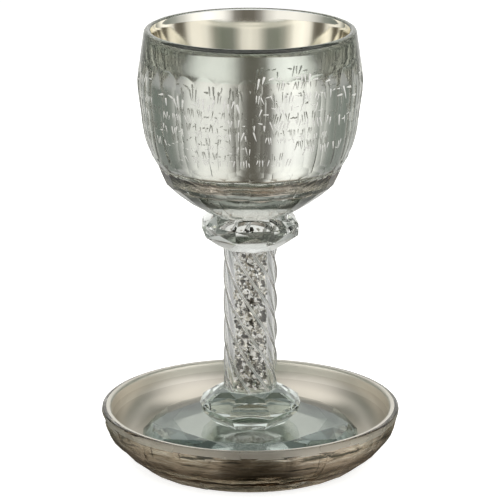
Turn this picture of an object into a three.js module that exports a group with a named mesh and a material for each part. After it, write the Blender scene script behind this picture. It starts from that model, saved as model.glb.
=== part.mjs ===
// A stemmed ceremonial wine cup of cut crystal, standing in its own saucer.
// Millimetres, +Z up. The origin is under the middle of the saucer, and -Y is the front.

import * as THREE from 'three';
import { ConvexGeometry } from 'three/addons/geometries/ConvexGeometry.js';

// ---- driving dimensions ----------------------------------------------------

const FLUTES = 24;                 // cut flats around the bowl and around the saucer
const AROUND = 2 * FLUTES;         // two strips a flat: a vertex on each ridge and each middle
const PITCH = (2 * Math.PI) / FLUTES;

// saucer
const SAUCER_RIM_R = 54.0;
const SAUCER_RIM_Z = 20.4;
const SAUCER_BASE_R = 37.8;        // the flat underside that it stands on
const SAUCER_FLOOR_Z = 6.0;        // inside floor, under the foot
const SAUCER_WALL = 3.4;

// foot disc
const FOOT_BOTTOM_Z = SAUCER_FLOOR_Z;
const FOOT_TABLE_Z = 14.4;
const FOOT_TABLE_R = 28.0;
const FOOT_GIRDLE_R = 39.4;

// knops
const KNOP_SIDES = 8;
const LOWER_KNOP_TOP_Z = 27.0;
const LOWER_KNOP_R = 18.7;
const UPPER_KNOP_BOTTOM_Z = 80.0;
const UPPER_KNOP_TOP_Z = 93.0;
const UPPER_KNOP_R = 17.9;

// stem
const STEM_SIDES = 8;
const STEM_R = 9.7;                // over the ridges
const STEM_BORE_R = 6.6;
const STEM_TURN_MM = 86.0;         // height of one whole turn of a ridge
const STEM_STEPS = 26;
const FILL_GAP = 0.35;

// bowl
const BOWL_BOTTOM_Z = UPPER_KNOP_TOP_Z;
const BOWL_RIM_Z = 159.3;
const BOWL_BASE_R = 14.2;
const BOWL_BELLY_R = 39.7;
const BOWL_RIM_R = 36.5;
const BOWL_MOUTH_R = 35.2;
const BOWL_CAVITY_Z = 104;       // the lowest point of the inside
const FLUTE_TOP_Z = 145.2;         // peak of each flute's arch, under the plain band
const FLUTE_ARCH = 0.11;          // how fast the band stands proud of the flutes below there

// ---- shared functions --------------------------------------------------------

// A smooth curve through stations [radius, height].
function profile(stations, divisions) {
  const curve = new THREE.SplineCurve(stations.map(([r, z]) => new THREE.Vector2(r, z)));
  return curve.getPoints(divisions);
}

// The radius of a smooth profile at one height.
function radiusAt(points, z) {
  for (let i = 1; i < points.length; i++) {
    const a = points[i - 1];
    const b = points[i];
    if ((a.y - z) * (b.y - z) <= 0 && a.y !== b.y) {
      return a.x + ((b.x - a.x) * (z - a.y)) / (b.y - a.y);
    }
  }
  return points[points.length - 1].x;
}

// Straight interpolation in stations [radius, height], which run on past both ends.
function along(stations, z) {
  let i = 1;
  while (i < stations.length - 1 && stations[i][1] > z) i++;
  const [r0, z0] = stations[i - 1];
  const [r1, z1] = stations[i];
  return r0 + ((r1 - r0) * (z - z0)) / (z1 - z0);
}

// A lathe turned so that its axis is +Z, with angle 0 at the front (-Y).
function lathe(points) {
  return new THREE.LatheGeometry(points, AROUND).rotateX(Math.PI / 2);
}

// The cosine that a flat stretches by at an angle. A row of flats with shift 0.5 is staggered.
function flatCos(angle, shift) {
  const turned = angle / PITCH - shift;
  return Math.cos((turned - Math.round(turned)) * PITCH);
}

// Moves the outside of a turned body, profile points first to last, out to radius(angle, z).
function cutOutside(geometry, profileLength, first, last, radius) {
  const p = geometry.attributes.position;
  for (let i = 0; i < p.count; i++) {
    const j = i % profileLength;
    if (j < first || j > last) continue;
    const x = p.getX(i);
    const y = p.getY(i);
    const z = p.getZ(i);
    const scale = radius(Math.atan2(x, -y), z) / Math.hypot(x, y);
    p.setXYZ(i, x * scale, y * scale, z);
  }
  geometry.computeVertexNormals();
  return geometry;
}

// Points of one level of a faceted body: a regular polygon, turned by an angle.
function level(sides, r, z, turn = 0) {
  return Array.from({ length: sides }, (_, k) => {
    const a = turn + (2 * Math.PI * k) / sides;
    return new THREE.Vector3(r * Math.sin(a), -r * Math.cos(a), z);
  });
}

function piece(name, geometry, color, roughness, metalness) {
  const mesh = new THREE.Mesh(
    geometry,
    new THREE.MeshStandardMaterial({ color, roughness, metalness }),
  );
  mesh.name = name;
  return mesh;
}

const group = new THREE.Group();

// ---- saucer: a shallow dish with a thick flat base ------------------------------

const saucerBand = profile(
  [
    [50.8, 8.0],
    [52.6, 12.0],
    [53.7, 15.0],
    [SAUCER_RIM_R, 17.4],
    [53.8, 19.5],
  ],
  60,
);
const saucerUpperFlats = [[54.2, 19.0], [53.5, 15.8], [52.2, 12.6], [50.2, 9.6], [47.6, 6.4]];
const saucerLowerFlats = [[51.9, 11.6], [50.2, 9.6], [47.6, 6.6], [44.0, 3.6], [39.6, 0.6]];
function saucerRadius(angle, z) {
  return Math.min(
    z > 8 ? radiusAt(saucerBand, z) : Infinity,
    along(saucerUpperFlats, z) / flatCos(angle, 0.5),
    along(saucerLowerFlats, z) / flatCos(angle, 0),
  );
}
const saucerOuterZ = [0.6, 2.2, 4.2, 6.4, 8.2, 9.6, 11.0, 12.8, 14.4, 16.0, 17.4, 19.4];
const saucerProfile = [
  new THREE.Vector2(0, 0),
  new THREE.Vector2(SAUCER_BASE_R, 0),
  ...saucerOuterZ.map((z) => new THREE.Vector2(SAUCER_RIM_R, z)),
  new THREE.Vector2(SAUCER_RIM_R - 0.7, SAUCER_RIM_Z),
  new THREE.Vector2(SAUCER_RIM_R - SAUCER_WALL + 0.6, SAUCER_RIM_Z),
  ...profile(
    [
      [SAUCER_RIM_R - SAUCER_WALL - 0.1, 19.6],
      [49.8, 15.2],
      [48.0, 11.2],
      [45.0, 8.0],
      [41.4, 6.4],
      [39.9, SAUCER_FLOOR_Z],
    ],
    9,
  ),
  new THREE.Vector2(0, SAUCER_FLOOR_Z),
];
const saucer = cutOutside(
  lathe(saucerProfile), saucerProfile.length, 2, 1 + saucerOuterZ.length, saucerRadius);
group.add(piece('saucer', saucer, 0x9a9284, 0.12, 0.55));

// ---- foot disc: a brilliant-cut disc, table uppermost ---------------------------------

const step = Math.PI / 12;
const foot = new ConvexGeometry([
  ...level(12, FOOT_TABLE_R, FOOT_TABLE_Z),                    // table
  ...level(12, FOOT_TABLE_R + 3.0, FOOT_TABLE_Z - 0.42, step), // apexes of the star facets
  ...level(24, 35.7, FOOT_TABLE_Z - 1.5),                      // upper edge
  ...level(24, FOOT_GIRDLE_R, 9.0, step / 2),                  // girdle
  ...level(24, FOOT_GIRDLE_R, 8.0, step / 2),
  ...level(24, FOOT_GIRDLE_R - 1.6, FOOT_BOTTOM_Z, step / 2),  // underside
]);
group.add(piece('foot_disc', foot, 0xc4ccc8, 0.03, 0.0));

// ---- lower knop ----------------------------------------------------------------------------

const flat = Math.PI / KNOP_SIDES;
const lowerKnop = new ConvexGeometry([
  ...level(KNOP_SIDES, 10.6, LOWER_KNOP_TOP_Z, 0),
  ...level(KNOP_SIDES, 12.9, LOWER_KNOP_TOP_Z - 1.0, flat),
  ...level(KNOP_SIDES, LOWER_KNOP_R, 22.0, flat),
  ...level(KNOP_SIDES, LOWER_KNOP_R - 0.5, 21.2, 0),
  ...level(KNOP_SIDES, LOWER_KNOP_R, 20.0, flat),
  ...level(KNOP_SIDES, 13.2, FOOT_TABLE_Z, flat),
]);
group.add(piece('lower_knop', lowerKnop, 0xb9c4c0, 0.03, 0.0));

// ---- stem: an eight-sided tube, twisted about its axis --------------------------------

const section = new THREE.Shape(
  Array.from({ length: STEM_SIDES }, (_, k) => {
    const a = (2 * Math.PI * k) / STEM_SIDES;
    return new THREE.Vector2(STEM_R * Math.cos(a), STEM_R * Math.sin(a));
  }),
);
section.holes.push(
  new THREE.Path(
    Array.from({ length: 16 }, (_, k) => {
      const a = (-2 * Math.PI * k) / 16;
      return new THREE.Vector2(STEM_BORE_R * Math.cos(a), STEM_BORE_R * Math.sin(a));
    }),
  ),
);
const stemHeight = UPPER_KNOP_BOTTOM_Z - LOWER_KNOP_TOP_Z;
const stem = new THREE.ExtrudeGeometry(section, {
  depth: stemHeight,
  steps: STEM_STEPS,
  bevelEnabled: false,
});
{
  // Seen from the front, each ridge runs from upper left to lower right.
  const p = stem.attributes.position;
  for (let i = 0; i < p.count; i++) {
    const x = p.getX(i);
    const y = p.getY(i);
    const z = p.getZ(i);
    const a = (-2 * Math.PI * z) / STEM_TURN_MM;
    p.setXYZ(i, x * Math.cos(a) - y * Math.sin(a), x * Math.sin(a) + y * Math.cos(a), z);
  }
  stem.computeVertexNormals();
}
const stemMesh = piece('stem_tube', stem, 0xd3dad7, 0.03, 0.0);
stemMesh.position.z = LOWER_KNOP_TOP_Z;
group.add(stemMesh);

// ---- filling: the body of crushed crystal in the tube ---------------------------------

const fillHeight = stemHeight - 2 * FILL_GAP;
const filling = new THREE.CylinderGeometry(
  STEM_BORE_R * Math.cos(Math.PI / 16) - FILL_GAP,
  STEM_BORE_R * Math.cos(Math.PI / 16) - FILL_GAP,
  fillHeight,
  16,
).rotateX(Math.PI / 2);
const fillingMesh = piece('crushed_crystal_filling', filling, 0xb4b2ac, 0.25, 0.6);
fillingMesh.position.z = LOWER_KNOP_TOP_Z + FILL_GAP + fillHeight / 2;
group.add(fillingMesh);

// ---- upper knop ----------------------------------------------------------------------------

const upperTurn = 0.1;
const upperKnop = new ConvexGeometry([
  ...level(KNOP_SIDES, 10.6, UPPER_KNOP_BOTTOM_Z, upperTurn),
  ...level(KNOP_SIDES, 13.0, UPPER_KNOP_BOTTOM_Z + 1.6, upperTurn + flat),
  ...level(KNOP_SIDES, UPPER_KNOP_R, 85.2, upperTurn + flat),
  ...level(KNOP_SIDES, UPPER_KNOP_R - 0.4, 87.4, upperTurn),
  ...level(KNOP_SIDES, UPPER_KNOP_R, 89.5, upperTurn + flat),
  ...level(KNOP_SIDES, 13.6, UPPER_KNOP_TOP_Z, upperTurn + flat),
]);
group.add(piece('upper_knop', upperKnop, 0xb9c4c0, 0.03, 0.0));

// ---- bowl: thick glass, fluted outside, smooth inside ------------------------------

const bowlSide = profile(
  [
    [35.0, 115.5],
    [36.3, 118.6],
    [37.6, 123.6],
    [38.5, 130.0],
    [BOWL_BELLY_R, 141.0],
    [38.9, 149.0],
    [37.7, 157.3],
  ],
  120,
);
const bowlUpperFlats = [[35.0, 115.5], [34.3, 113.3], [33.0, 109.2]];
const bowlMiddleFlats = [[35.8, 115.6], [34.3, 113.3], [33.4, 112.0], [31.8, 108.0], [30.1, 104.3], [28.6, 101.0]];
const bowlLowerFlats = [[32.6, 106.2], [30.1, 104.3], [26.4, 101.0], [21.8, 97.5], [17.6, 94.6]];
const bowlFootCurve = [[22.6, 97.8], [19.4, 95.8], [16.4, 94.0], [BOWL_BASE_R, BOWL_BOTTOM_Z]];
function bowlRadius(angle, z) {
  const side = z > 115.5 ? radiusAt(bowlSide, z) : along(bowlUpperFlats, z);
  const band = side + FLUTE_ARCH * Math.max(0, FLUTE_TOP_Z - z);
  return Math.min(
    band,
    z < FLUTE_TOP_Z ? side / flatCos(angle, 0) : Infinity,
    z < 118 ? along(bowlMiddleFlats, z) / flatCos(angle, 0.5) : Infinity,
    z < 108 ? along(bowlLowerFlats, z) / flatCos(angle, 0) : Infinity,
    z < 99 ? along(bowlFootCurve, z) : Infinity,
  );
}
const bowlOuterZ = [
  94.0, 95.8, 97.5, 99.2, 101.2, 103.0, 104.3, 105.6, 108.4, 111.2, 113.3, 115.4, 118.6, 123.6, 129.0,
  132.5, 137.0, 140.6, 143.0, FLUTE_TOP_Z, 151.0, 157.3,
];
const bowlProfile = [
  new THREE.Vector2(0, BOWL_BOTTOM_Z),
  new THREE.Vector2(BOWL_BASE_R, BOWL_BOTTOM_Z),
  ...bowlOuterZ.map((z) => new THREE.Vector2(BOWL_BELLY_R, z)),
  new THREE.Vector2(BOWL_RIM_R, BOWL_RIM_Z),
  new THREE.Vector2(BOWL_MOUTH_R + 0.2, BOWL_RIM_Z),
  new THREE.Vector2(BOWL_MOUTH_R, 158.6),
  ...profile(
    [
      [34.72, 156.4],
      [33.86, 150.0],
      [32.98, 143.0],
      [32.3, 135.0],
      [31.75, 128.0],
      [31.1, 121.5],
      [30.0, 116.0],
      [28.2, 111.2],
      [23.6, 107.2],
      [16.5, 105.0],
      [8.0, 104.2],
      [0, BOWL_CAVITY_Z],
    ],
    17,
  ),
];
bowlProfile[bowlProfile.length - 1].set(0, BOWL_CAVITY_Z);
const bowl = cutOutside(
  lathe(bowlProfile), bowlProfile.length, 2, 1 + bowlOuterZ.length, bowlRadius);
group.add(piece('bowl', bowl, 0xc3c4bd, 0.06, 0.35));

export default group;
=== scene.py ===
import math
import random

import bmesh
import bpy
import numpy as np
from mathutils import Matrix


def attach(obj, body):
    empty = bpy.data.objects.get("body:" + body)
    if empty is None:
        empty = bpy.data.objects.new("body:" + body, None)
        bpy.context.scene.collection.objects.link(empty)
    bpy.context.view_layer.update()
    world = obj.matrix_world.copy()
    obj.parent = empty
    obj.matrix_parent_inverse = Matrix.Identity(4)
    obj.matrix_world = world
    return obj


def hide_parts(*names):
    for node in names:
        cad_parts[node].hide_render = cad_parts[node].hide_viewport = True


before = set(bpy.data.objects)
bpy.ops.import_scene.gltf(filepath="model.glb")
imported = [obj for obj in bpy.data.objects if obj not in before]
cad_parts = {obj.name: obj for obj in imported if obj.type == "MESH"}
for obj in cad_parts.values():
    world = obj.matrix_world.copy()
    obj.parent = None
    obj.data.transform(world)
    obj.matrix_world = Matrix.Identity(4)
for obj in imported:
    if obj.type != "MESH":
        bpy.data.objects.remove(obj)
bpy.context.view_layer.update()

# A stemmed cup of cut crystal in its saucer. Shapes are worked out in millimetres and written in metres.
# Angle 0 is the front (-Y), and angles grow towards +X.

MM = 0.001
random.seed(7)

# ------------------------------------------------------------------ sizes, in mm
FLUTES = 24
PITCH = 2 * math.pi / FLUTES
COLS = FLUTES * 16
# columns of the cut bodies stand closer together at the arrises, every half pitch
COL_ANGLES = np.array([(k + f) * PITCH / 2 for k in range(2 * FLUTES) for f in (0.0, 0.04, 0.12, 0.29, 0.5, 0.71, 0.88, 0.96)])

SAUCER_RIM_R, SAUCER_RIM_Z, SAUCER_BASE_R, SAUCER_FLOOR_Z, SAUCER_WALL = 54.0, 20.4, 37.8, 6.0, 3.4
FOOT_BOTTOM_Z, FOOT_TABLE_Z, FOOT_TABLE_R, FOOT_GIRDLE_R = 6.0, 14.4, 28.0, 39.4
KNOP_SIDES = 8
LOWER_KNOP_TOP_Z, LOWER_KNOP_R = 27.0, 18.7
UPPER_KNOP_BOTTOM_Z, UPPER_KNOP_TOP_Z, UPPER_KNOP_R = 80.0, 93.0, 17.9
STEM_SIDES, STEM_R, STEM_BORE_R, STEM_TURN_MM = 8, 9.7, 6.6, 86.0
BOWL_BOTTOM_Z, BOWL_RIM_Z, BOWL_BASE_R, BOWL_BELLY_R = 93.0, 159.3, 14.2, 39.7
BOWL_MOUTH_R, BOWL_CAVITY_Z = 35.2, 104.0
FLUTE_TOP_Z, FLUTE_ARCH = 145.2, 0.11
GAP = 0.03          # between faces that meet
GLUE_BOWL, GLUE_FOOT = 12.3, 11.9                # radii of the glued places
GLUE_STEM = (6.9, 8.6)


# ------------------------------------------------------------------ curves
def spline(stations, per=12):
    pts = [np.array(p, float) for p in stations]
    pts = [pts[0], *pts, pts[-1]]
    out = []
    for i in range(1, len(pts) - 2):
        p0, p1, p2, p3 = pts[i - 1:i + 3]
        for k in range(per):
            t = k / per
            v0, v1 = (p2 - p0) / 2, (p3 - p1) / 2
            out.append((2 * p1 - 2 * p2 + v0 + v1) * t ** 3 + (-3 * p1 + 3 * p2 - 2 * v0 - v1) * t * t + v0 * t + p1)
    out.append(pts[-1])
    return np.array(out)


def resample(points, n):
    """n + 1 points at even steps along a curve."""
    points = np.array(points, float)
    s = np.concatenate([[0], np.cumsum(np.linalg.norm(np.diff(points, axis=0), axis=1))])
    at = np.linspace(0, s[-1], n + 1)
    return np.stack([np.interp(at, s, points[:, 0]), np.interp(at, s, points[:, 1])], 1)


def offset(points, d):
    """A curve moved sideways by d: to the left of its direction where d is positive."""
    points = np.array(points, float)
    t = np.gradient(points, axis=0)
    t /= np.maximum(np.linalg.norm(t, axis=1, keepdims=True), 1e-9)
    return points + d * np.stack([-t[:, 1], t[:, 0]], 1)


class Curve:
    """The radius at a height, on a curve whose heights run one way."""

    def __init__(self, stations):
        p = spline(stations, 24)
        order = np.argsort(p[:, 1])
        self.z, self.r = p[order, 1], p[order, 0]

    def __call__(self, z):
        return float(np.interp(z, self.z, self.r))


def along(stations, z):
    i = 1
    while i < len(stations) - 1 and stations[i][1] > z:
        i += 1
    (r0, z0), (r1, z1) = stations[i - 1], stations[i]
    return r0 + (r1 - r0) * (z - z0) / (z1 - z0)


def flat_cos(angle, shift):
    turned = angle / PITCH - shift
    return math.cos((turned - round(turned)) * PITCH)


def crossing(a, b, low, high):
    """The height between low and high where a and b are equal; a is the smaller one above it."""
    for _ in range(30):
        mid = (low + high) / 2
        if a(mid) < b(mid):
            high = mid
        else:
            low = mid
    return (low + high) / 2


# ------------------------------------------------------------------ meshes
def build(name, verts, faces, materials, face_material=None, smooth_under=None):
    mesh = bpy.data.meshes.new(name)
    mesh.from_pydata((np.asarray(verts, float) * MM).tolist(), [], faces)
    for m in materials:
        mesh.materials.append(m)
    if face_material is not None:
        mesh.polygons.foreach_set("material_index", np.asarray(face_material, np.int32))
    if smooth_under is not None:
        mesh.polygons.foreach_set("use_smooth", np.ones(len(mesh.polygons), bool))
        mesh.update()
        mesh.set_sharp_from_angle(angle=math.radians(smooth_under))
    mesh.validate()
    mesh.update()
    obj = bpy.data.objects.new(name, mesh)
    bpy.context.scene.collection.objects.link(obj)
    return obj


def turned(rows, first_closed=True):
    """Vertices and faces of a body whose rows (radii and heights) run from below, out, up, in and down to the axis."""
    cols = len(rows[0][0])
    angles = COL_ANGLES if cols == COLS else np.arange(cols) * 2 * math.pi / cols
    verts = []
    for r, z in rows:
        verts.append(np.stack([r * np.sin(angles), -r * np.cos(angles), z], 1))
    verts = np.concatenate(verts)
    faces = []
    for j in range(len(rows) - 1):
        a = j * cols
        for i in range(cols):
            k = (i + 1) % cols
            faces.append((a + i, a + k, a + cols + k, a + cols + i))
    first, last = len(verts), len(verts) + 1
    verts = np.concatenate([verts, [[0, 0, rows[0][1].mean()], [0, 0, rows[-1][1].mean()]]])
    top = (len(rows) - 1) * cols
    for i in range(cols):
        k = (i + 1) % cols
        if first_closed:
            faces.append((first, k, i))
        faces.append((last, top + i, top + k))
    if not first_closed:
        verts = np.delete(verts, first, 0)
        faces = [tuple(first if q == last else q for q in f) for f in faces]
    return verts, faces


def ring(r, z, cols=COLS):
    return np.full(cols, float(r)), np.full(cols, float(z))


def level(sides, r, z, turn=0.0):
    return [(r * math.sin(turn + 2 * math.pi * k / sides), -r * math.cos(turn + 2 * math.pi * k / sides), z) for k in range(sides)]


def cut_stone(name, points, bevel, materials, glued=()):
    """A convex faceted body with fine rounded arrises. Where it is glued to its neighbour, given as (height, inner, outer radius),
    the glass runs on into the neighbour, so its flat face has an opening there."""
    bm = bmesh.new()
    for p in points:
        bm.verts.new([c * MM for c in p])
    hull = bmesh.ops.convex_hull(bm, input=bm.verts)
    loose = [v for v in bm.verts if not v.link_faces]
    bmesh.ops.delete(bm, geom=loose, context="VERTS")
    bmesh.ops.dissolve_limit(bm, angle_limit=math.radians(0.6), verts=bm.verts, edges=bm.edges)
    bmesh.ops.recalc_face_normals(bm, faces=bm.faces)
    bmesh.ops.bevel(bm, geom=list(bm.edges), offset=bevel * MM, offset_type="OFFSET", segments=2, profile=0.5, affect="EDGES", clamp_overlap=True)
    for z, r_in, r_out in glued:
        flat_face = max((f for f in bm.faces if max(abs(v.co.z - z * MM) for v in f.verts) < 2e-5), key=lambda f: f.calc_area())
        up = flat_face.normal.z > 0
        height = flat_face.verts[0].co.z
        outer = sorted(flat_face.verts, key=lambda v: math.atan2(v.co.y, v.co.x) % (2 * math.pi))
        bm.faces.remove(flat_face)

        def circle(radius):
            return [bm.verts.new((radius * MM * math.cos(2 * math.pi * k / 64), radius * MM * math.sin(2 * math.pi * k / 64), height)) for k in range(64)]

        def add_face(*corners):
            bm.faces.new(corners if up else corners[::-1])

        inner = circle(r_out)
        turn = lambda v: math.atan2(v.co.y, v.co.x) % (2 * math.pi)
        i = j = 0
        while i < len(outer) or j < len(inner):
            next_o = turn(outer[(i + 1) % len(outer)]) + (2 * math.pi if i + 1 >= len(outer) else 0) if i < len(outer) else 99
            next_i = 2 * math.pi * (j + 1) / 64 if j < len(inner) else 99
            o, c = outer[i % len(outer)], inner[j % 64]
            if next_o <= next_i:
                add_face(c, o, outer[(i + 1) % len(outer)])
                i += 1
            else:
                add_face(c, o, inner[(j + 1) % 64])
                j += 1
        if r_in > 0:
            add_face(*circle(r_in))
    bmesh.ops.triangulate(bm, faces=[f for f in bm.faces if len(f.verts) > 4])
    for f in bm.faces:
        f.normal_update()
    mesh = bpy.data.meshes.new(name)
    bm.to_mesh(mesh)
    bm.free()
    for m in materials:
        mesh.materials.append(m)
    obj = bpy.data.objects.new(name, mesh)
    bpy.context.scene.collection.objects.link(obj)
    mesh.polygons.foreach_set("use_smooth", np.ones(len(mesh.polygons), bool))
    mesh.set_sharp_from_angle(angle=math.radians(9))
    mesh.update()
    return obj


# ------------------------------------------------------------------ materials
def new_material(name):
    m = bpy.data.materials.new(name)
    m.use_nodes = True
    nt = m.node_tree
    for n in list(nt.nodes):
        nt.nodes.remove(n)
    out = nt.nodes.new("ShaderNodeOutputMaterial")
    p = nt.nodes.new("ShaderNodeBsdfPrincipled")
    nt.links.new(p.outputs["BSDF"], out.inputs["Surface"])
    return m, nt, p, out


def noise(nt, scale, detail=3.0, rough=0.5):
    c = nt.nodes.new("ShaderNodeTexCoord")
    n = nt.nodes.new("ShaderNodeTexNoise")
    n.inputs["Scale"].default_value = scale
    n.inputs["Detail"].default_value = detail
    n.inputs["Roughness"].default_value = rough
    nt.links.new(c.outputs["Object"], n.inputs["Vector"])
    return n


def ramp(nt, source, stops):
    r = nt.nodes.new("ShaderNodeValToRGB")
    e = r.color_ramp.elements
    e[0].position, e[0].color = stops[0][0], (*stops[0][1], 1)
    e[1].position, e[1].color = stops[-1][0], (*stops[-1][1], 1)
    for pos, col in stops[1:-1]:
        x = e.new(pos)
        x.color = (*col, 1)
    nt.links.new(source, r.inputs["Fac"])
    return r


def add_bump(nt, p, source, strength, distance):
    b = nt.nodes.new("ShaderNodeBump")
    b.inputs["Strength"].default_value = strength
    b.inputs["Distance"].default_value = distance
    nt.links.new(source, b.inputs["Height"])
    nt.links.new(b.outputs["Normal"], p.inputs["Normal"])


def crystal(name, tint, wave=0.25, rough=0.018):
    m, nt, p, out = new_material(name)
    p.inputs["Base Color"].default_value = (*tint, 1)
    p.inputs["Transmission Weight"].default_value = 1.0
    p.inputs["IOR"].default_value = 1.52
    n = noise(nt, 160.0, 2.0)
    r = nt.nodes.new("ShaderNodeMapRange")
    r.inputs["To Min"].default_value = 0.0 if rough < 0.1 else rough * 0.6
    r.inputs["To Max"].default_value = rough
    nt.links.new(n.outputs["Fac"], r.inputs["Value"])
    nt.links.new(r.outputs["Result"], p.inputs["Roughness"])
    add_bump(nt, p, noise(nt, 70.0, 1.5).outputs["Fac"], wave, 0.0003)
    return m


def silver(name, low, high, rough=(0.04, 0.10), wave=0.15, scale=45.0):
    m, nt, p, out = new_material(name)
    p.inputs["Metallic"].default_value = 1.0
    n = noise(nt, scale, 4.0, 0.55)
    c = ramp(nt, n.outputs["Fac"], [(0.3, low), (0.7, high)])
    nt.links.new(c.outputs["Color"], p.inputs["Base Color"])
    r = nt.nodes.new("ShaderNodeMapRange")
    r.inputs["From Min"].default_value = 0.3
    r.inputs["From Max"].default_value = 0.7
    r.inputs["To Min"].default_value = rough[0]
    r.inputs["To Max"].default_value = rough[1]
    nt.links.new(n.outputs["Fac"], r.inputs["Value"])
    nt.links.new(r.outputs["Result"], p.inputs["Roughness"])
    add_bump(nt, p, noise(nt, 60.0, 1.0).outputs["Fac"], wave, 0.0003)
    return m


def streaky(name, dark, middle, light, rough):
    """Silver seen through thick cut glass, painted in fine light and dark streaks drawn out round the saucer: painted
    reflections, with near-black painted shade.
    """
    m, nt, p, out = new_material(name)
    p.inputs["Metallic"].default_value = 1.0
    c = nt.nodes.new("ShaderNodeTexCoord")
    mapping = nt.nodes.new("ShaderNodeMapping")
    mapping.inputs["Scale"].default_value = (60.0, 60.0, 620.0)
    nt.links.new(c.outputs["Object"], mapping.inputs["Vector"])
    n = nt.nodes.new("ShaderNodeTexNoise")
    n.inputs["Scale"].default_value = 1.0
    n.inputs["Detail"].default_value = 3.0
    n.inputs["Roughness"].default_value = 0.6
    nt.links.new(mapping.outputs["Vector"], n.inputs["Vector"])
    col = ramp(nt, n.outputs["Fac"], [(0.37, dark), (0.44, middle), (0.52, middle), (0.61, light)])
    nt.links.new(col.outputs["Color"], p.inputs["Base Color"])
    r = nt.nodes.new("ShaderNodeMapRange")
    r.inputs["To Min"].default_value = rough[0]
    r.inputs["To Max"].default_value = rough[1]
    nt.links.new(n.outputs["Fac"], r.inputs["Value"])
    nt.links.new(r.outputs["Result"], p.inputs["Roughness"])
    add_bump(nt, p, n.outputs["Fac"], 0.35, 0.0006)
    return m


def matt(name, low, high, rough=0.7, scale=900.0, bump=0.3):
    m, nt, p, out = new_material(name)
    n = noise(nt, scale, 3.0, 0.6)
    c = ramp(nt, n.outputs["Fac"], [(0.35, low), (0.65, high)])
    nt.links.new(c.outputs["Color"], p.inputs["Base Color"])
    p.inputs["Roughness"].default_value = rough
    add_bump(nt, p, n.outputs["Fac"], bump, 0.00005)
    return m


CRYSTAL = crystal("clear_crystal", (0.835, 0.905, 0.875))
CRYSTAL_FOOT = crystal("foot_crystal", (0.80, 0.865, 0.84))
# Painted shade: the foot's facets round the table get a darker glass, and some of them a near-black glass.
CRYSTAL_FOOT_SHADE = crystal("foot_crystal_painted_shade", (0.36, 0.425, 0.40))
CRYSTAL_FOOT_DEEP_SHADE = crystal("foot_crystal_painted_deep_shade", (0.09, 0.125, 0.115))
CRYSTAL_LIGHT = crystal("light_crystal", (0.965, 0.985, 0.97))
CRYSTAL_STEM = crystal("stem_crystal", (0.985, 0.99, 0.985), 0.1)
CRYSTAL_RIDGE = crystal("stem_ridge_crystal", (1.0, 1.0, 0.99), 0.1, 0.42)
CRYSTAL_BOWL = crystal("bowl_crystal", (0.945, 0.975, 0.955))
CRYSTAL_SAUCER = crystal("saucer_crystal", (0.93, 0.95, 0.92))
CRYSTAL_SAUCER_2 = crystal("saucer_crystal_deeper_cut", (0.90, 0.92, 0.885), 0.8)
CRYSTAL_SAUCER_3 = crystal("saucer_crystal_deepest_cut", (0.80, 0.83, 0.785), 1.0)
# Painted highlight: a paler glass along the saucer's arrises and where its two rows of cuts meet.
CRYSTAL_SAUCER_ARRIS_HIGHLIGHT = crystal("saucer_crystal_painted_arris_highlight", (0.97, 0.98, 0.96), 0.0)
SILVER_IN = silver("silver_lining_inside", (0.89, 0.865, 0.79), (0.94, 0.92, 0.85), (0.03, 0.08))
SILVER_OUT = silver("silver_lining_through_glass", (0.80, 0.79, 0.75), (0.86, 0.85, 0.815))
# Painted light: the saucer's inner silver is painted lighter in steps, half way up and again by the rim.
SAUCER_IN = silver("saucer_silver_inside", (0.60, 0.565, 0.50), (0.67, 0.63, 0.565), (0.27, 0.34))
SAUCER_HIGH_LIT = silver("saucer_silver_painted_lighter_half_way_up", (0.72, 0.685, 0.615), (0.79, 0.75, 0.68), (0.30, 0.37))
SAUCER_TOP_LIT = silver("saucer_silver_painted_lightest_by_the_rim", (0.84, 0.805, 0.73), (0.92, 0.88, 0.80), (0.33, 0.40))
# Painted light: a paler, half diffuse silver on the coat's outer side behind the saucer's rim, for the pale band seen
# there through the glass.
SAUCER_RIM_LIT = silver("saucer_silver_painted_light_behind_the_rim", (0.78, 0.73, 0.65), (0.95, 0.91, 0.84), (0.20, 0.34))
SAUCER_RIM_LIT.node_tree.nodes["Principled BSDF"].inputs["Metallic"].default_value = 0.4
# Painted reflection and painted shade: light and near-black streaks on the saucer's outer silver.
SAUCER_OUT_PAINTED_STREAKS = streaky("saucer_silver_painted_streaks", (0.13, 0.128, 0.10), (0.78, 0.70, 0.60), (0.97, 0.93, 0.86), (0.04, 0.12))
# Painted shade: dark silver at the bottom of the bowl, and round it a mottled warm silver that is painted shade with
# warm painted reflection.
SILVER_DEEP_SHADE = silver("silver_painted_shade_under_the_bowl", (0.09, 0.11, 0.095), (0.40, 0.42, 0.38), (0.05, 0.16), 0.8, 150.0)
SILVER_WARM_SHADE = silver("silver_painted_shade_round_the_bottom", (0.28, 0.30, 0.265), (0.76, 0.63, 0.55), (0.05, 0.12), 0.8, 48.0)
SILVER_BAND = silver("silver_under_the_rim", (0.775, 0.80, 0.755), (0.84, 0.865, 0.82))
# Painted shade: a near-black silver for the dark line at the coat's edge by the bowl's rim.
SILVER_EDGE_SHADE = silver("silver_painted_shade_edge", (0.05, 0.06, 0.055), (0.13, 0.14, 0.13), (0.10, 0.20))
CHIP_MIRROR = silver("mirror_chips", (0.34, 0.32, 0.28), (0.97, 0.94, 0.87), (0.03, 0.14), 0.0, 500.0)
# Painted shade: near-black chips for the grains that look dark in the filling.
CHIP_SHADE = silver("chips_painted_dark_shade", (0.035, 0.032, 0.027), (0.15, 0.135, 0.115), (0.08, 0.25), 0.0, 500.0)
CHIP_WHITE = matt("white_chips_painted_glow", (0.92, 0.89, 0.82), (1.0, 0.98, 0.93), 0.3, 700.0, 0.2)
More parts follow.
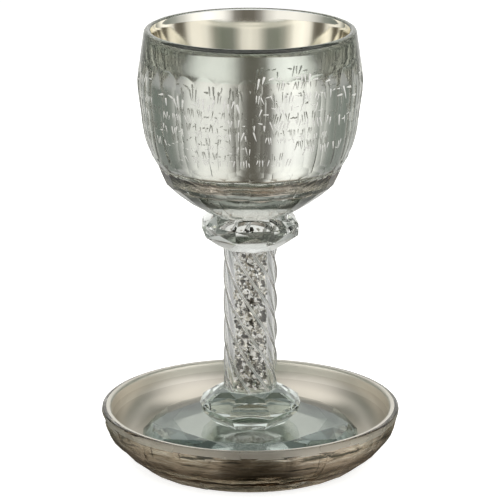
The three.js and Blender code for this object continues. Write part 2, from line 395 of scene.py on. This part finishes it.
# Painted light: the white chips glow a little, though they are no lamp.
chip_shader = CHIP_WHITE.node_tree.nodes["Principled BSDF"]
chip_shader.inputs["Emission Color"].default_value = (1.0, 0.985, 0.95, 1)
chip_shader.inputs["Emission Strength"].default_value = 0.25
FROST = matt("frosted_strokes", (0.80, 0.80, 0.78), (0.95, 0.95, 0.93), 0.8, 2500.0, 0.3)


# ------------------------------------------------------------------ bowl
bowl_side = Curve([(35.0, 115.5), (36.3, 118.6), (37.6, 123.6), (38.5, 130.0), (BOWL_BELLY_R, 141.0), (38.9, 149.0), (37.7, 157.3)])
bowl_upper_flats = [(35.0, 115.5), (34.3, 113.3), (33.0, 109.2)]
bowl_middle_flats = [(35.8, 115.6), (34.3, 113.3), (33.4, 112.0), (31.8, 108.0), (30.1, 104.3), (28.6, 101.0)]
bowl_lower_flats = [(32.6, 106.2), (30.1, 104.3), (26.4, 101.0), (21.8, 97.5), (17.6, 94.6)]
bowl_foot_curve = [(22.6, 97.8), (19.4, 95.8), (16.4, 94.0), (BOWL_BASE_R, BOWL_BOTTOM_Z)]

hand = random.Random(3)
hand_upper = [hand.uniform(-0.10, 0.05) for _ in range(FLUTES)]
hand_middle = [hand.uniform(-0.16, 0.06) for _ in range(FLUTES)]
hand_lower = [hand.uniform(-0.14, 0.06) for _ in range(FLUTES)]


lean_upper = [hand.uniform(-0.012, 0.012) for _ in range(FLUTES)]
lean_middle = [hand.uniform(-0.05, 0.05) for _ in range(FLUTES)]
lean_lower = [hand.uniform(-0.05, 0.05) for _ in range(FLUTES)]


def hand_cut(table, angle, shift, lean=None, dz=0.0):
    """How far a facet lies from its true place: no cut is quite like the next."""
    k = round(angle / PITCH - shift) % FLUTES
    return table[k] + (lean[k] * dz if lean else 0.0)


def side_at(z):
    return bowl_side(z) if z > 115.5 else along(bowl_upper_flats, z)


def row_a(angle, z):
    return (side_at(z) + hand_cut(hand_upper, angle, 0, lean_upper, z - 132)) / flat_cos(angle, 0)


def row_b(angle, z):
    return (along(bowl_middle_flats, z) + hand_cut(hand_middle, angle, 0.5, lean_middle, z - 109)) / flat_cos(angle, 0.5)


def row_c(angle, z):
    return (along(bowl_lower_flats, z) + hand_cut(hand_lower, angle, 0, lean_lower, z - 101)) / flat_cos(angle, 0)


def band_at(angle, z):
    return side_at(z) + FLUTE_ARCH * max(0.0, FLUTE_TOP_Z - z)


def foot_at(angle, z):
    return along(bowl_foot_curve, z)


def bowl_radius(angle, z):
    r = band_at(angle, z)
    if z < FLUTE_TOP_Z:
        r = min(r, row_a(angle, z))
    if z < 118:
        r = min(r, row_b(angle, z))
    if z < 108:
        r = min(r, row_c(angle, z))
    if z < 99:
        r = min(r, foot_at(angle, z))
    return r


bowl_inner = spline([
    (34.72, 156.4), (33.86, 150.0), (32.98, 143.0), (32.3, 135.0), (31.75, 128.0), (31.1, 121.5), (30.0, 116.0),
    (28.2, 111.2), (23.6, 107.2), (16.5, 105.0), (8.0, 104.2), (0, BOWL_CAVITY_Z),
], 16)
bowl_inner[:, 0] = np.maximum(bowl_inner[:, 0], 0.0)


def eased(t):
    """Steps from 0 to 1 that are small at both ends."""
    return t - 0.8 * math.sin(2 * math.pi * t) / (2 * math.pi)


def bowl_mesh():
    angles = COL_ANGLES
    marks = []
    for a in angles:
        z_a = crossing(lambda z: band_at(a, z), lambda z: row_a(a, z), FLUTE_TOP_Z - 5.5, FLUTE_TOP_Z + 0.6) if flat_cos(a, 0) < 0.99999 else FLUTE_TOP_Z
        z_ab = crossing(lambda z: row_a(a, z), lambda z: row_b(a, z), 109.0, 117.5)
        z_bc = crossing(lambda z: row_b(a, z), lambda z: row_c(a, z), 101.0, 107.8)
        z_cd = crossing(lambda z: row_c(a, z), lambda z: foot_at(a, z), 94.0, 98.9)
        marks.append((BOWL_BOTTOM_Z + GAP, z_cd, z_bc, z_ab, z_a, 157.3))
    marks = np.array(marks)
    rows = [ring(GLUE_BOWL, BOWL_BOTTOM_Z + GAP), ring(BOWL_BASE_R - 0.3, BOWL_BOTTOM_Z + GAP)]
    for zone, n in enumerate([8, 12, 14, 46, 14]):
        for k in range(n + (zone == 4)):
            z = marks[:, zone] + (marks[:, zone + 1] - marks[:, zone]) * eased(k / n)
            rows.append((np.array([bowl_radius(a, h) for a, h in zip(angles, z)]), z))
    for r, z in [(37.58, 157.95), (37.46, 158.45), (37.25, 158.83), (36.95, 159.1), (36.6, 159.25), (36.2, BOWL_RIM_Z), (35.8, 159.26), (35.45, 159.05), (35.25, 158.75)]:
        rows.append(ring(r, z))
    inner = np.concatenate([[(BOWL_MOUTH_R, 158.4), (34.98, 157.5)], resample(bowl_inner, 52)[:-1]])
    for r, z in inner:
        rows.append(ring(r, z))
    return turned(rows, first_closed=False)


verts, faces = bowl_mesh()
bowl = build("bowl", verts, faces, [CRYSTAL_BOWL], smooth_under=40)
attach(bowl, "root"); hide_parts("bowl")


def lining(name, curve, out_by, in_by, mats, n, outside=None, inside=None, join_angle=20):
    """A thin coat on an inner wall. The curve runs from the rim down to the axis, with the cavity on its right.
    Its outer side is material 0 and its inner side 1, or what outside and inside say for a radius and height."""
    curve = resample(curve, n)
    outer = offset(curve, out_by)[::-1]
    inner = offset(curve, -in_by)
    outer[0, 0] = inner[-1, 0] = 0.3
    rows = [ring(max(r, 0.3), z, 256) for r, z in outer] + [ring(max(r, 0.3), z, 256) for r, z in inner]
    v, f = turned(rows)
    zone = [outside(*(outer[j] + outer[j + 1]) / 2) if outside else 0 for j in range(len(outer) - 1)]
    zone.append(1)
    zone += [inside(*(inner[j] + inner[j + 1]) / 2) if inside else 1 for j in range(len(inner) - 1)]
    which = [zone[k // 256] for k in range(len(rows) * 256 - 256)] + [zone[0], zone[-1]] * 256
    o = build(name, v, f, mats, which, smooth_under=join_angle)
    return o


lip = [(35.24, 158.7), (35.16, 158.2), (34.98, 157.5)]


def bowl_zone(r, z):
    """Where the coat is painted: painted shade as a dark edge at the rim, and painted shade with warm painted
    reflection at the bottom of the bowl, where it lies behind the most glass.
    """
    if z > 157.5:
        return 2
    if z > 147:
        return 5
    if z > 112 or r > 27.6:
        return 0
    return 4 if r > 21.5 else 3 if r > 9.5 else 0


bowl_lining = lining("bowl_silver_lining", np.concatenate([lip, bowl_inner]), 0.07, 0.05, [SILVER_OUT, SILVER_IN, SILVER_EDGE_SHADE, SILVER_DEEP_SHADE, SILVER_WARM_SHADE, SILVER_BAND], 130, bowl_zone)
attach(bowl_lining, "root")


# ------------------------------------------------------------------ rows of shallow strokes round the bowl
def stroke(verts, faces, mats, u, v, length, width, tilt, proud=0.05, deep=0.10):
    """A tapered stroke on the bowl: u and v are its middle, in mm along the surface (at radius 39) and in height."""
    n = max(3, int(math.ceil(length / 0.6)) + 1)
    base = len(verts)
    across = [(-1.0, 0), (-0.35, 1), (0.35, 1), (1.0, 0)]
    for side, lift in ((0, proud), (1, -deep)):
        for i in range(n):
            t = i / (n - 1)
            w = width / 2 * (0.22 + 1.05 * t ** 0.7) * (1.0 if t < 0.93 else 0.75)
            du, dv = (t - 0.5) * length * math.sin(tilt), (t - 0.5) * length * math.cos(tilt)
            for s, raised in across:
                x = u + du + s * w * math.cos(tilt)
                z = v + dv - s * w * math.sin(tilt)
                a = x / 39.0
                r = bowl_radius(a, z) + lift * (1.0 if raised or side else 0.5)
                verts.append((r * math.sin(a), -r * math.cos(a), z))
    m = len(across)
    for i in range(n - 1):
        for j in range(m - 1):
            p = base + i * m + j
            faces.append((p, p + 1, p + m + 1, p + m)); mats.append(0)
            q = p + n * m
            faces.append((q, q + m, q + m + 1, q + 1)); mats.append(0)
    for i in range(n - 1):
        p = base + i * m
        q = p + n * m
        faces.append((p, p + m, q + m, q)); mats.append(0)
        p, q = p + m - 1, q + m - 1
        faces.append((p, q, q + m, p + m)); mats.append(0)
    for j in range(m - 1):
        p = base + j
        q = p + n * m
        faces.append((p, q, q + 1, p + 1)); mats.append(0)
        p = base + (n - 1) * m + j
        q = p + n * m
        faces.append((p, p + 1, q + 1, q)); mats.append(0)


def stroke_rows():
    rng = random.Random(11)
    verts, faces, mats = [], [], []
    # start and end in degrees from the front, lower edge, height of the strokes
    rows = [
        (-52, -1, 137.6, 4.6), (-50, -2, 132.6, 2.9), (-54, 3, 127.6, 3.4), (-58, 2, 122.6, 3.0), (-42, 22, 117.8, 2.9),
        (4, 43, 146.0, 4.4), (3, 50, 140.9, 3.1), (5, 40, 136.6, 3.6), (2, 46, 131.2, 3.6), (8, 44, 126.4, 2.6), (30, 60, 121.2, 3.4),
        (49, 66, 138.0, 6.0), (52, 64, 130.0, 4.0),
        (74, 128, 143.6, 4.0), (78, 124, 137.2, 4.4), (74, 130, 131.6, 3.0), (80, 122, 126.2, 3.4), (84, 118, 121.0, 2.8),
        (134, 182, 141.6, 4.6), (132, 184, 135.6, 3.0), (136, 180, 130.0, 3.6), (134, 184, 124.8, 2.8), (142, 178, 119.6, 2.8),
        (192, 240, 144.6, 4.0), (190, 242, 138.4, 4.4), (194, 238, 132.6, 3.0), (190, 240, 127.2, 3.4), (198, 232, 121.6, 2.8),
        (250, 298, 141.8, 4.4), (248, 300, 136.0, 3.0), (252, 296, 130.6, 3.6), (250, 300, 125.2, 2.8), (256, 292, 120.0, 2.8),
    ]
    for start, end, low, high in rows:
        u, stop = math.radians(start) * 39.0, math.radians(end) * 39.0
        left = rng.randint(3, 6)
        while u < stop:
            size = high * rng.choice([1.0, 1.0, 0.85, 0.6, 0.75])
            kind = rng.random()
            width = high * rng.uniform(0.11, 0.17)
            lift = rng.choice([0.0, high - size])
            if kind < 0.78:
                args = (u, low + lift + size / 2, size, width, math.radians(rng.uniform(-24, 24)))
                step = width + high * rng.uniform(0.12, 0.27)
            else:
                args = (u + high * 0.2, low + high * rng.choice([0.2, 0.5, 0.8]), high * rng.uniform(0.35, 0.55), width * 0.9, math.radians(rng.uniform(70, 110)))
                step = high * rng.uniform(0.55, 0.75)
            stroke(verts, faces, mats, *args)
            u += step
            left -= 1
            if left == 0:
                left = rng.randint(3, 6)
                u += high * rng.uniform(0.4, 0.7)
    return verts, faces, mats


verts, faces, mats = stroke_rows()
strokes = build("bowl_stroke_rows", verts, faces, [FROST], mats, smooth_under=40)
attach(strokes, "root")

# ------------------------------------------------------------------ knops and foot
flat = math.pi / KNOP_SIDES
upper_turn = 0.1
upper_knop = cut_stone("upper_knop", [
    *level(KNOP_SIDES, 10.6, UPPER_KNOP_BOTTOM_Z, upper_turn),
    *level(KNOP_SIDES, 13.0, UPPER_KNOP_BOTTOM_Z + 1.6, upper_turn + flat),
    *level(KNOP_SIDES, UPPER_KNOP_R, 85.2, upper_turn + flat),
    *level(KNOP_SIDES, UPPER_KNOP_R - 0.4, 87.4, upper_turn),
    *level(KNOP_SIDES, UPPER_KNOP_R, 89.5, upper_turn + flat),
    *level(KNOP_SIDES, 13.6, UPPER_KNOP_TOP_Z, upper_turn + flat),
], 0.14, [CRYSTAL_LIGHT], glued=[(UPPER_KNOP_TOP_Z, 0, GLUE_BOWL), (UPPER_KNOP_BOTTOM_Z, 0, GLUE_STEM[1])])
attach(upper_knop, "root"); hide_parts("upper_knop")

lower_knop = cut_stone("lower_knop", [
    *level(KNOP_SIDES, 10.6, LOWER_KNOP_TOP_Z, 0),
    *level(KNOP_SIDES, 12.9, LOWER_KNOP_TOP_Z - 1.0, flat),
    *level(KNOP_SIDES, LOWER_KNOP_R, 22.0, flat),
    *level(KNOP_SIDES, LOWER_KNOP_R - 0.5, 21.2, 0),
    *level(KNOP_SIDES, LOWER_KNOP_R, 20.0, flat),
    *level(KNOP_SIDES, 13.2, FOOT_TABLE_Z + GAP, flat),
], 0.14, [CRYSTAL], glued=[(LOWER_KNOP_TOP_Z, 0, GLUE_STEM[1]), (FOOT_TABLE_Z + GAP, 0, GLUE_FOOT)])
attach(lower_knop, "root"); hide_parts("lower_knop")

half = math.pi / 24
foot = cut_stone("foot_disc", [
    *level(12, FOOT_TABLE_R, FOOT_TABLE_Z),
    *level(12, FOOT_TABLE_R + 3.0, FOOT_TABLE_Z - 0.42, 2 * half),
    *level(24, 35.7, FOOT_TABLE_Z - 1.5),
    *level(24, FOOT_GIRDLE_R, 9.0, half),
    *level(24, FOOT_GIRDLE_R, 8.0, half),
    *level(24, FOOT_GIRDLE_R - 1.6, FOOT_BOTTOM_Z + 0.08, half),
], 0.12, [CRYSTAL_FOOT, CRYSTAL_FOOT_SHADE, CRYSTAL_FOOT_DEEP_SHADE], glued=[(FOOT_TABLE_Z, 0, GLUE_FOOT)])


def foot_tone(f):
    """The table is the lightest; the facets round it get a darker glass as painted shade, and two in every six a
    near-black glass as deeper painted shade.
    """
    if abs(f.normal.z) > 0.999:
        return 0
    around = math.atan2(f.center.x, -f.center.y) / (2 * half)
    return 2 if f.normal.z > 0.5 and round(around - 0.5) % 6 in (2, 3) else 1


foot.data.polygons.foreach_set("material_index", np.array([foot_tone(f) for f in foot.data.polygons], np.int32))
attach(foot, "root"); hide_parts("foot_disc")


# ------------------------------------------------------------------ stem
def stem_mesh():
    side = [0.0, 0.014, 0.028, 0.042, 0.056, 0.070, 0.085, 0.105, 0.14, 0.19, 0.26, 0.34, 0.42]
    side = np.array(side + [0.5] + [1 - x for x in side[:0:-1]])
    rows_n = 200
    cols = STEM_SIDES * len(side)
    z0, z1 = LOWER_KNOP_TOP_Z + GAP, UPPER_KNOP_BOTTOM_Z - GAP
    base = np.concatenate([(k + side) for k in range(STEM_SIDES)]) * 2 * math.pi / STEM_SIDES
    off = np.tile(side, STEM_SIDES) - 0.5        # 0 in the middle of a side
    from_arris = 0.5 - np.abs(off)
    rib = np.exp(-((from_arris - 0.046) / 0.030) ** 2)           # two fine ridges side by side along each arris
    r = STEM_R - 0.62 + 0.58 * rib - 0.12 * np.cos(off * math.pi)
    verts, faces = [], []

    def add_row(radii, z):
        a = math.pi / 2 + base - 2 * math.pi * (z - LOWER_KNOP_TOP_Z) / STEM_TURN_MM
        verts.append(np.stack([radii * np.sin(a), -radii * np.cos(a), np.full(cols, z)], 1))

    zs = np.linspace(z0, z1, rows_n + 1)
    strips = []
    add_row(np.full(cols, GLUE_STEM[1]), z0)
    for z in zs:
        add_row(r, z)
    add_row(np.full(cols, GLUE_STEM[1]), z1)
    strips.append((0, len(verts)))
    start = len(verts)
    add_row(np.full(cols, GLUE_STEM[0]), z1)
    for z in zs[::-1]:
        add_row(np.full(cols, STEM_BORE_R), z)
    add_row(np.full(cols, GLUE_STEM[0]), z0)
    strips.append((start, len(verts)))
    for low, high in strips:
        for j in range(low, high - 1):
            a, b = j * cols, (j + 1) * cols
            for i in range(cols):
                k = (i + 1) % cols
                faces.append((a + i, a + k, b + k, b + i))
    middle = (from_arris + np.roll(from_arris, -1)) / 2
    outside = (rows_n + 2) * cols
    which = [1 if k < outside and 0.02 < middle[k % cols] < 0.07 else 0 for k in range(len(faces))]
    return np.concatenate(verts), faces, which


verts, faces, which = stem_mesh()
stem = build("stem_tube", verts, faces, [CRYSTAL_STEM, CRYSTAL_RIDGE], which, smooth_under=30)
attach(stem, "root"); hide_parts("stem_tube")


# ------------------------------------------------------------------ crushed crystal in the stem
def chip(rng, centre, size):
    bm = bmesh.new()
    n = rng.randint(6, 8)
    for _ in range(n):
        d = np.array([rng.gauss(0, 1) for _ in range(3)])
        d /= np.linalg.norm(d)
        bm.verts.new((d * size * rng.uniform(0.75, 1.1)).tolist())
    bmesh.ops.convex_hull(bm, input=bm.verts)
    bmesh.ops.delete(bm, geom=[v for v in bm.verts if not v.link_faces], context="VERTS")
    bmesh.ops.recalc_face_normals(bm, faces=bm.faces)
    bm.verts.index_update()
    v = [np.array(x.co) + centre for x in bm.verts]
    f = [[x.index for x in face.verts] for face in bm.faces]
    bm.free()
    return v, f


def chips_mesh():
    rng = random.Random(5)
    verts, faces, mats = [], [], []
    low, high = LOWER_KNOP_TOP_Z + 0.7, UPPER_KNOP_BOTTOM_Z - 0.7
    for shell, (radius, pitch) in enumerate([(5.2, 1.9), (3.3, 2.3), (1.3, 2.6)]):
        rows_n = int((high - low) / (pitch * 0.86))
        for i in range(rows_n + 1):
            z = low + (high - low) * i / rows_n
            around = int(2 * math.pi * radius / pitch)
            turn = rng.uniform(0, 2 * math.pi)
            for k in range(around):
                a = turn + 2 * math.pi * (k + rng.uniform(-0.2, 0.2)) / around
                r = radius + rng.uniform(-0.35, 0.25)
                size = rng.choice([0.7, 0.9, 1.1, 1.3])
                h = z + rng.uniform(-0.3, 0.3)
                v, f = chip(rng, np.array([r * math.sin(a), -r * math.cos(a), h]), size)
                n = len(verts)
                verts += v
                faces += [tuple(n + q for q in face) for face in f]
                mats += [rng.choices([0, 1, 2], [0.43, 0.36, 0.21])[0]] * len(f)
    return verts, faces, mats


verts, faces, mats = chips_mesh()
verts = np.array(verts)
reach = np.hypot(verts[:, 0], verts[:, 1])
limit = STEM_BORE_R - 0.2
verts[:, :2] *= np.minimum(1.0, limit / np.maximum(reach, 1e-6))[:, None]
verts[:, 2] = np.clip(verts[:, 2], LOWER_KNOP_TOP_Z + 0.2, UPPER_KNOP_BOTTOM_Z - 0.2)
chips = build("crushed_crystal_filling", verts, faces, [CHIP_MIRROR, CHIP_SHADE, CHIP_WHITE], mats)
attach(chips, "root"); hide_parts("crushed_crystal_filling")

# ------------------------------------------------------------------ saucer
saucer_band = Curve([(50.8, 8.0), (52.6, 12.0), (53.7, 15.0), (SAUCER_RIM_R, 17.4), (53.8, 19.5)])
saucer_upper_flats = [(54.2, 19.0), (53.5, 15.8), (52.2, 12.6), (50.2, 9.6), (47.6, 6.4)]
saucer_lower_flats = [(51.9, 11.6), (50.2, 9.6), (47.6, 6.6), (44.0, 3.6), (39.6, 0.6)]
hand_su = [hand.uniform(-0.65, -0.05) for _ in range(FLUTES)]
hand_sl = [hand.uniform(-0.65, -0.05) for _ in range(FLUTES)]
lean_su = [hand.uniform(-0.11, 0.11) for _ in range(FLUTES)]
lean_sl = [hand.uniform(-0.11, 0.11) for _ in range(FLUTES)]


def saucer_a(angle, z):
    return (along(saucer_upper_flats, z) + hand_cut(hand_su, angle, 0.5, lean_su, z - 13)) / flat_cos(angle, 0.5)


def saucer_b(angle, z):
    return (along(saucer_lower_flats, z) + hand_cut(hand_sl, angle, 0, lean_sl, z - 5)) / flat_cos(angle, 0)


def saucer_radius(angle, z):
    r = min(saucer_a(angle, z), saucer_b(angle, z))
    return min(r, saucer_band(z)) if z > 8 else r


saucer_inner = spline([(SAUCER_RIM_R - SAUCER_WALL - 0.1, 19.6), (49.8, 15.2), (48.0, 11.2), (45.0, 8.0), (41.4, 6.4), (39.9, SAUCER_FLOOR_Z)], 12)


def saucer_mesh():
    angles = COL_ANGLES
    marks = []
    for a in angles:
        z_ab = crossing(lambda z: saucer_a(a, z), lambda z: saucer_b(a, z), 5.5, 13.5)
        z_a = crossing(lambda z: saucer_band(z), lambda z: saucer_a(a, z), z_ab + 0.3, 18.9)
        marks.append((0.6, z_ab, z_a, 19.4))
    marks = np.array(marks)
    rows = [ring(0.5 * SAUCER_BASE_R, 0), ring(SAUCER_BASE_R - 0.2, 0), ring(SAUCER_BASE_R + 0.6, 0.12)]
    for zone, n in enumerate([24, 24, 6]):
        for k in range(n + (zone == 2)):
            z = marks[:, zone] + (marks[:, zone + 1] - marks[:, zone]) * eased(k / n)
            rows.append((np.array([saucer_radius(a, h) for a, h in zip(angles, z)]), z))
    for r, z in [(53.72, 19.9), (53.4, 20.22), (52.9, 20.38), (52.2, SAUCER_RIM_Z), (51.5, 20.36), (51.0, 20.2), (50.66, 19.95)]:
        rows.append(ring(r, z))
    for r, z in resample(saucer_inner, 26):
        rows.append(ring(r, z))
    rows.append(ring(20.0, SAUCER_FLOOR_Z))
    verts, faces = turned(rows)
    tone = [[hand.choice([0, 0, 1, 2]) for _ in range(FLUTES)] for _ in range(2)]
    which = []
    for j in range(len(rows) - 1):
        for i in range(COLS):
            lower = 3 <= j < 27
            if not 3 <= j < 51:
                which.append(0)
                continue
            turn = (COL_ANGLES[i] + 0.001) / PITCH - (0.0 if lower else 0.5)
            to_arris = abs(i - (8 if lower else 0) + 0.5) % 16
            # the arrises, and the rows where the two rows of cuts meet, take the paler glass as a painted highlight
            if min(to_arris, 16 - to_arris) < 1 or 24 <= j < 30:
                which.append(3)
            else:
                which.append(tone[0 if lower else 1][round(turn) % FLUTES])
    return verts, faces, which + [0] * (len(faces) - len(which))


verts, faces, which = saucer_mesh()
saucer = build("saucer", verts, faces, [CRYSTAL_SAUCER, CRYSTAL_SAUCER_2, CRYSTAL_SAUCER_3, CRYSTAL_SAUCER_ARRIS_HIGHLIGHT], which, smooth_under=40)
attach(saucer, "root"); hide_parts("saucer")

saucer_curve = np.concatenate([[(52.3, 20.40), (51.9, 20.385), (51.5, 20.35), (51.0, 20.18), (50.72, 19.95)], saucer_inner, [(30.0, SAUCER_FLOOR_Z), (0.0, SAUCER_FLOOR_Z)]])
# Painted light: behind the rim the coat's outer side is the paler silver.
# Painted light: on the inner side the silver is painted lighter above 14 mm and lighter still above 16.8 mm.
saucer_lining = lining("saucer_silver_lining", saucer_curve, 0.07, 0.03, [SAUCER_OUT_PAINTED_STREAKS, SAUCER_IN, SAUCER_TOP_LIT, SAUCER_RIM_LIT, SAUCER_HIGH_LIT], 150,
                       lambda r, z: 3 if z > 17.4 else 0, lambda r, z: 2 if z > 16.8 else 4 if z > 14.0 else 1)
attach(saucer_lining, "root")

# ------------------------------------------------------------------ stage, light, camera
def make_math(nt, op, *args):
    n = nt.nodes.new("ShaderNodeMath")
    n.operation = op
    for i, x in enumerate(args):
        if isinstance(x, (int, float)):
            n.inputs[i].default_value = x
        else:
            nt.links.new(x, n.inputs[i])
    return n.outputs[0]


# soft boxes to the left and right, a gap between them at the front, dark cards at the sides and a pale backdrop:
# degrees from the front, towards +X
PEAK = 1.35
AROUND_LIGHT = [
    (-180, (0.92, 0.92, 0.90)), (-162, (0.80, 0.80, 0.78)), (-148, (0.42, 0.43, 0.41)), (-136, (0.22, 0.24, 0.22)),
    (-112, (0.20, 0.225, 0.20)), (-96, (0.30, 0.315, 0.29)), (-84, (0.60, 0.60, 0.58)), (-72, (0.90, 0.90, 0.87)),
    (-54, (1.04, 1.03, 1.0)), (-32, (1.0, 0.99, 0.96)), (-20, (0.70, 0.69, 0.66)), (-12, (0.30, 0.29, 0.27)),
    (-4, (0.16, 0.15, 0.13)), (8, (0.15, 0.14, 0.12)), (18, (0.25, 0.24, 0.22)), (25, (0.72, 0.71, 0.69)),
    (32, (1.05, 1.04, 1.02)), (50, (1.30, 1.29, 1.27)), (72, (1.10, 1.10, 1.07)), (84, (0.70, 0.70, 0.67)),
    (98, (0.38, 0.395, 0.37)), (114, (0.24, 0.265, 0.24)), (136, (0.24, 0.26, 0.24)), (148, (0.44, 0.45, 0.43)),
    (162, (0.80, 0.80, 0.78)), (180, (0.92, 0.92, 0.90)),
]


def around_light(nt, x, y, least=0.0):
    """The light from round about; at the sides and behind it is never under least."""
    angle = make_math(nt, "ARCTAN2", x, make_math(nt, "MULTIPLY", y, -1.0))
    place = make_math(nt, "MULTIPLY_ADD", angle, 1 / (2 * math.pi), 0.5)
    return ramp(nt, place, [(0.5 + d / 360.0, tuple(max(c, least if abs(d) > 80 else 0.0) / PEAK for c in col)) for d, col in AROUND_LIGHT])


def multiply(nt, a, b, factor=1.0):
    n = nt.nodes.new("ShaderNodeMix")
    n.data_type = "RGBA"
    n.blend_type = "MULTIPLY"
    n.inputs["Factor"].default_value = factor
    nt.links.new(a, n.inputs[6])
    nt.links.new(b, n.inputs[7])
    return n.outputs[2]


floor_mesh = bpy.data.meshes.new("floor")
bm = bmesh.new()
bmesh.ops.create_circle(bm, cap_ends=True, segments=96, radius=0.8)
for v in bm.verts:
    v.co.z = -0.0002
bm.to_mesh(floor_mesh)
bm.free()
floor = bpy.data.objects.new("floor", floor_mesh)
bpy.context.scene.collection.objects.link(floor)
m, nt, p, out = new_material("pale_floor")
p.inputs["Base Color"].default_value = (0.80, 0.80, 0.795, 1)
p.inputs["Roughness"].default_value = 0.9
p.inputs["Specular IOR Level"].default_value = 0.0
p.inputs["Emission Color"].default_value = (1, 1, 0.995, 1)
p.inputs["Emission Strength"].default_value = 0.78
coord = nt.nodes.new("ShaderNodeTexCoord")
split = nt.nodes.new("ShaderNodeSeparateXYZ")
nt.links.new(coord.outputs["Object"], split.inputs["Vector"])
reach = make_math(nt, "SQRT", make_math(nt, "ADD", make_math(nt, "MULTIPLY", split.outputs["X"], split.outputs["X"]), make_math(nt, "MULTIPLY", split.outputs["Y"], split.outputs["Y"])))
# Painted shadow: the floor's glow is dark brown by the saucer, with painted light and dark rings round it; camera rays
# see the plain pale floor.
painted_floor_shadow = ramp(nt, make_math(nt, "MULTIPLY", reach, 1.6), [
    (0.0, (0.11, 0.093, 0.078)), (0.080, (0.13, 0.107, 0.086)), (0.090, (0.36, 0.315, 0.27)), (0.098, (0.15, 0.125, 0.10)), (0.110, (0.60, 0.54, 0.48)),
    (0.122, (0.28, 0.245, 0.205)), (0.142, (0.62, 0.58, 0.54)), (0.19, (0.94, 0.93, 0.91)), (0.38, (0.98, 0.98, 0.97)), (0.55, (0.88, 0.88, 0.88)), (0.70, (0.93, 0.93, 0.93)), (1.0, (1.0, 1.0, 1.0)),
])
glow = nt.nodes.new("ShaderNodeEmission")
# the floor's glow, which only reflections see, is painted light: the light round about painted onto the floor; the dark
# cards stand well away from the cup, so the floor by it is painted pale at the sides too
by_cup = ramp(nt, make_math(nt, "MULTIPLY", reach, 1.6), [(0.0, (0, 0, 0)), (0.16, (0, 0, 0)), (0.22, (1, 1, 1)), (0.40, (1, 1, 1)), (0.55, (0, 0, 0)), (1.0, (0, 0, 0))])
around = nt.nodes.new("ShaderNodeMix")
around.data_type = "RGBA"
nt.links.new(by_cup.outputs["Color"], around.inputs[0])
nt.links.new(around_light(nt, split.outputs["X"], split.outputs["Y"]).outputs["Color"], around.inputs[6])
nt.links.new(around_light(nt, split.outputs["X"], split.outputs["Y"], 0.46).outputs["Color"], around.inputs[7])
nt.links.new(multiply(nt, around.outputs[2], painted_floor_shadow.outputs["Color"]), glow.inputs["Color"])
glow.inputs["Strength"].default_value = PEAK
path = nt.nodes.new("ShaderNodeLightPath")
pick = nt.nodes.new("ShaderNodeMixShader")
nt.links.new(path.outputs["Is Camera Ray"], pick.inputs[0])
nt.links.new(glow.outputs[0], pick.inputs[1])
nt.links.new(p.outputs["BSDF"], pick.inputs[2])
nt.links.new(pick.outputs[0], out.inputs["Surface"])
floor_mesh.materials.append(m)

world = bpy.data.worlds.new("studio")
bpy.context.scene.world = world
world.use_nodes = True
nt = world.node_tree
for n in list(nt.nodes):
    nt.nodes.remove(n)
out = nt.nodes.new("ShaderNodeOutputWorld")
coord = nt.nodes.new("ShaderNodeTexCoord")
split = nt.nodes.new("ShaderNodeSeparateXYZ")
nt.links.new(coord.outputs["Generated"], split.inputs["Vector"])
sides = around_light(nt, split.outputs["X"], split.outputs["Y"])
height = make_math(nt, "MULTIPLY_ADD", split.outputs["Z"], 0.5, 0.5)      # 0 below, 1 above
overhead = ramp(nt, height, [(0.0, (0, 0, 0)), (0.67, (0, 0, 0)), (0.83, (1, 1, 1)), (1.0, (1, 1, 1))])
blend = nt.nodes.new("ShaderNodeMix")
blend.data_type = "RGBA"
nt.links.new(overhead.outputs["Color"], blend.inputs[0])
nt.links.new(sides.outputs["Color"], blend.inputs[6])
blend.inputs[7].default_value = (1.0, 0.99, 0.95, 1)
high_up = ramp(nt, height, [(0.0, (0, 0, 0)), (0.73, (0, 0, 0)), (0.79, (1, 1, 1)), (1.0, (1, 1, 1))])
behind = ramp(nt, make_math(nt, "MULTIPLY_ADD", split.outputs["Y"], 0.5, 0.5), [(0.0, (0, 0, 0)), (0.52, (0, 0, 0)), (0.66, (1, 1, 1)), (1.0, (1, 1, 1))])
ceiling = make_math(nt, "MULTIPLY", make_math(nt, "MULTIPLY", high_up.outputs["Color"], behind.outputs["Color"]), 0.86)
dim = nt.nodes.new("ShaderNodeMix")
dim.data_type = "RGBA"
nt.links.new(ceiling, dim.inputs[0])
nt.links.new(blend.outputs[2], dim.inputs[6])
dim.inputs[7].default_value = (0.06, 0.075, 0.065, 1)
studio = nt.nodes.new("ShaderNodeBackground")
nt.links.new(dim.outputs[2], studio.inputs["Color"])
studio.inputs["Strength"].default_value = PEAK
plain = nt.nodes.new("ShaderNodeBackground")
plain.inputs["Color"].default_value = (1, 1, 1, 1)
plain.inputs["Strength"].default_value = 1.05
path = nt.nodes.new("ShaderNodeLightPath")
pick = nt.nodes.new("ShaderNodeMixShader")
nt.links.new(path.outputs["Is Camera Ray"], pick.inputs[0])
nt.links.new(studio.outputs[0], pick.inputs[1])
nt.links.new(plain.outputs[0], pick.inputs[2])
nt.links.new(pick.outputs[0], out.inputs["Surface"])

cam_data = bpy.data.cameras.new("camera")
cam_data.lens = 224.3
cam_data.sensor_width = 36.0
cam = bpy.data.objects.new("camera", cam_data)
bpy.context.scene.collection.objects.link(cam)
cam.location = (-0.0001, -1.074, 0.383)
cam.rotation_euler = (math.radians(90 - 15.84), 0, 0)
bpy.context.scene.camera = cam

scene = bpy.context.scene
scene.view_settings.view_transform = "Standard"
scene.view_settings.look = "None"
scene.cycles.max_bounces = 32
scene.cycles.transmission_bounces = 28
scene.cycles.glossy_bounces = 12
scene.cycles.diffuse_bounces = 3
scene.cycles.sample_clamp_indirect = 8.0

bpy.context.view_layer.update()
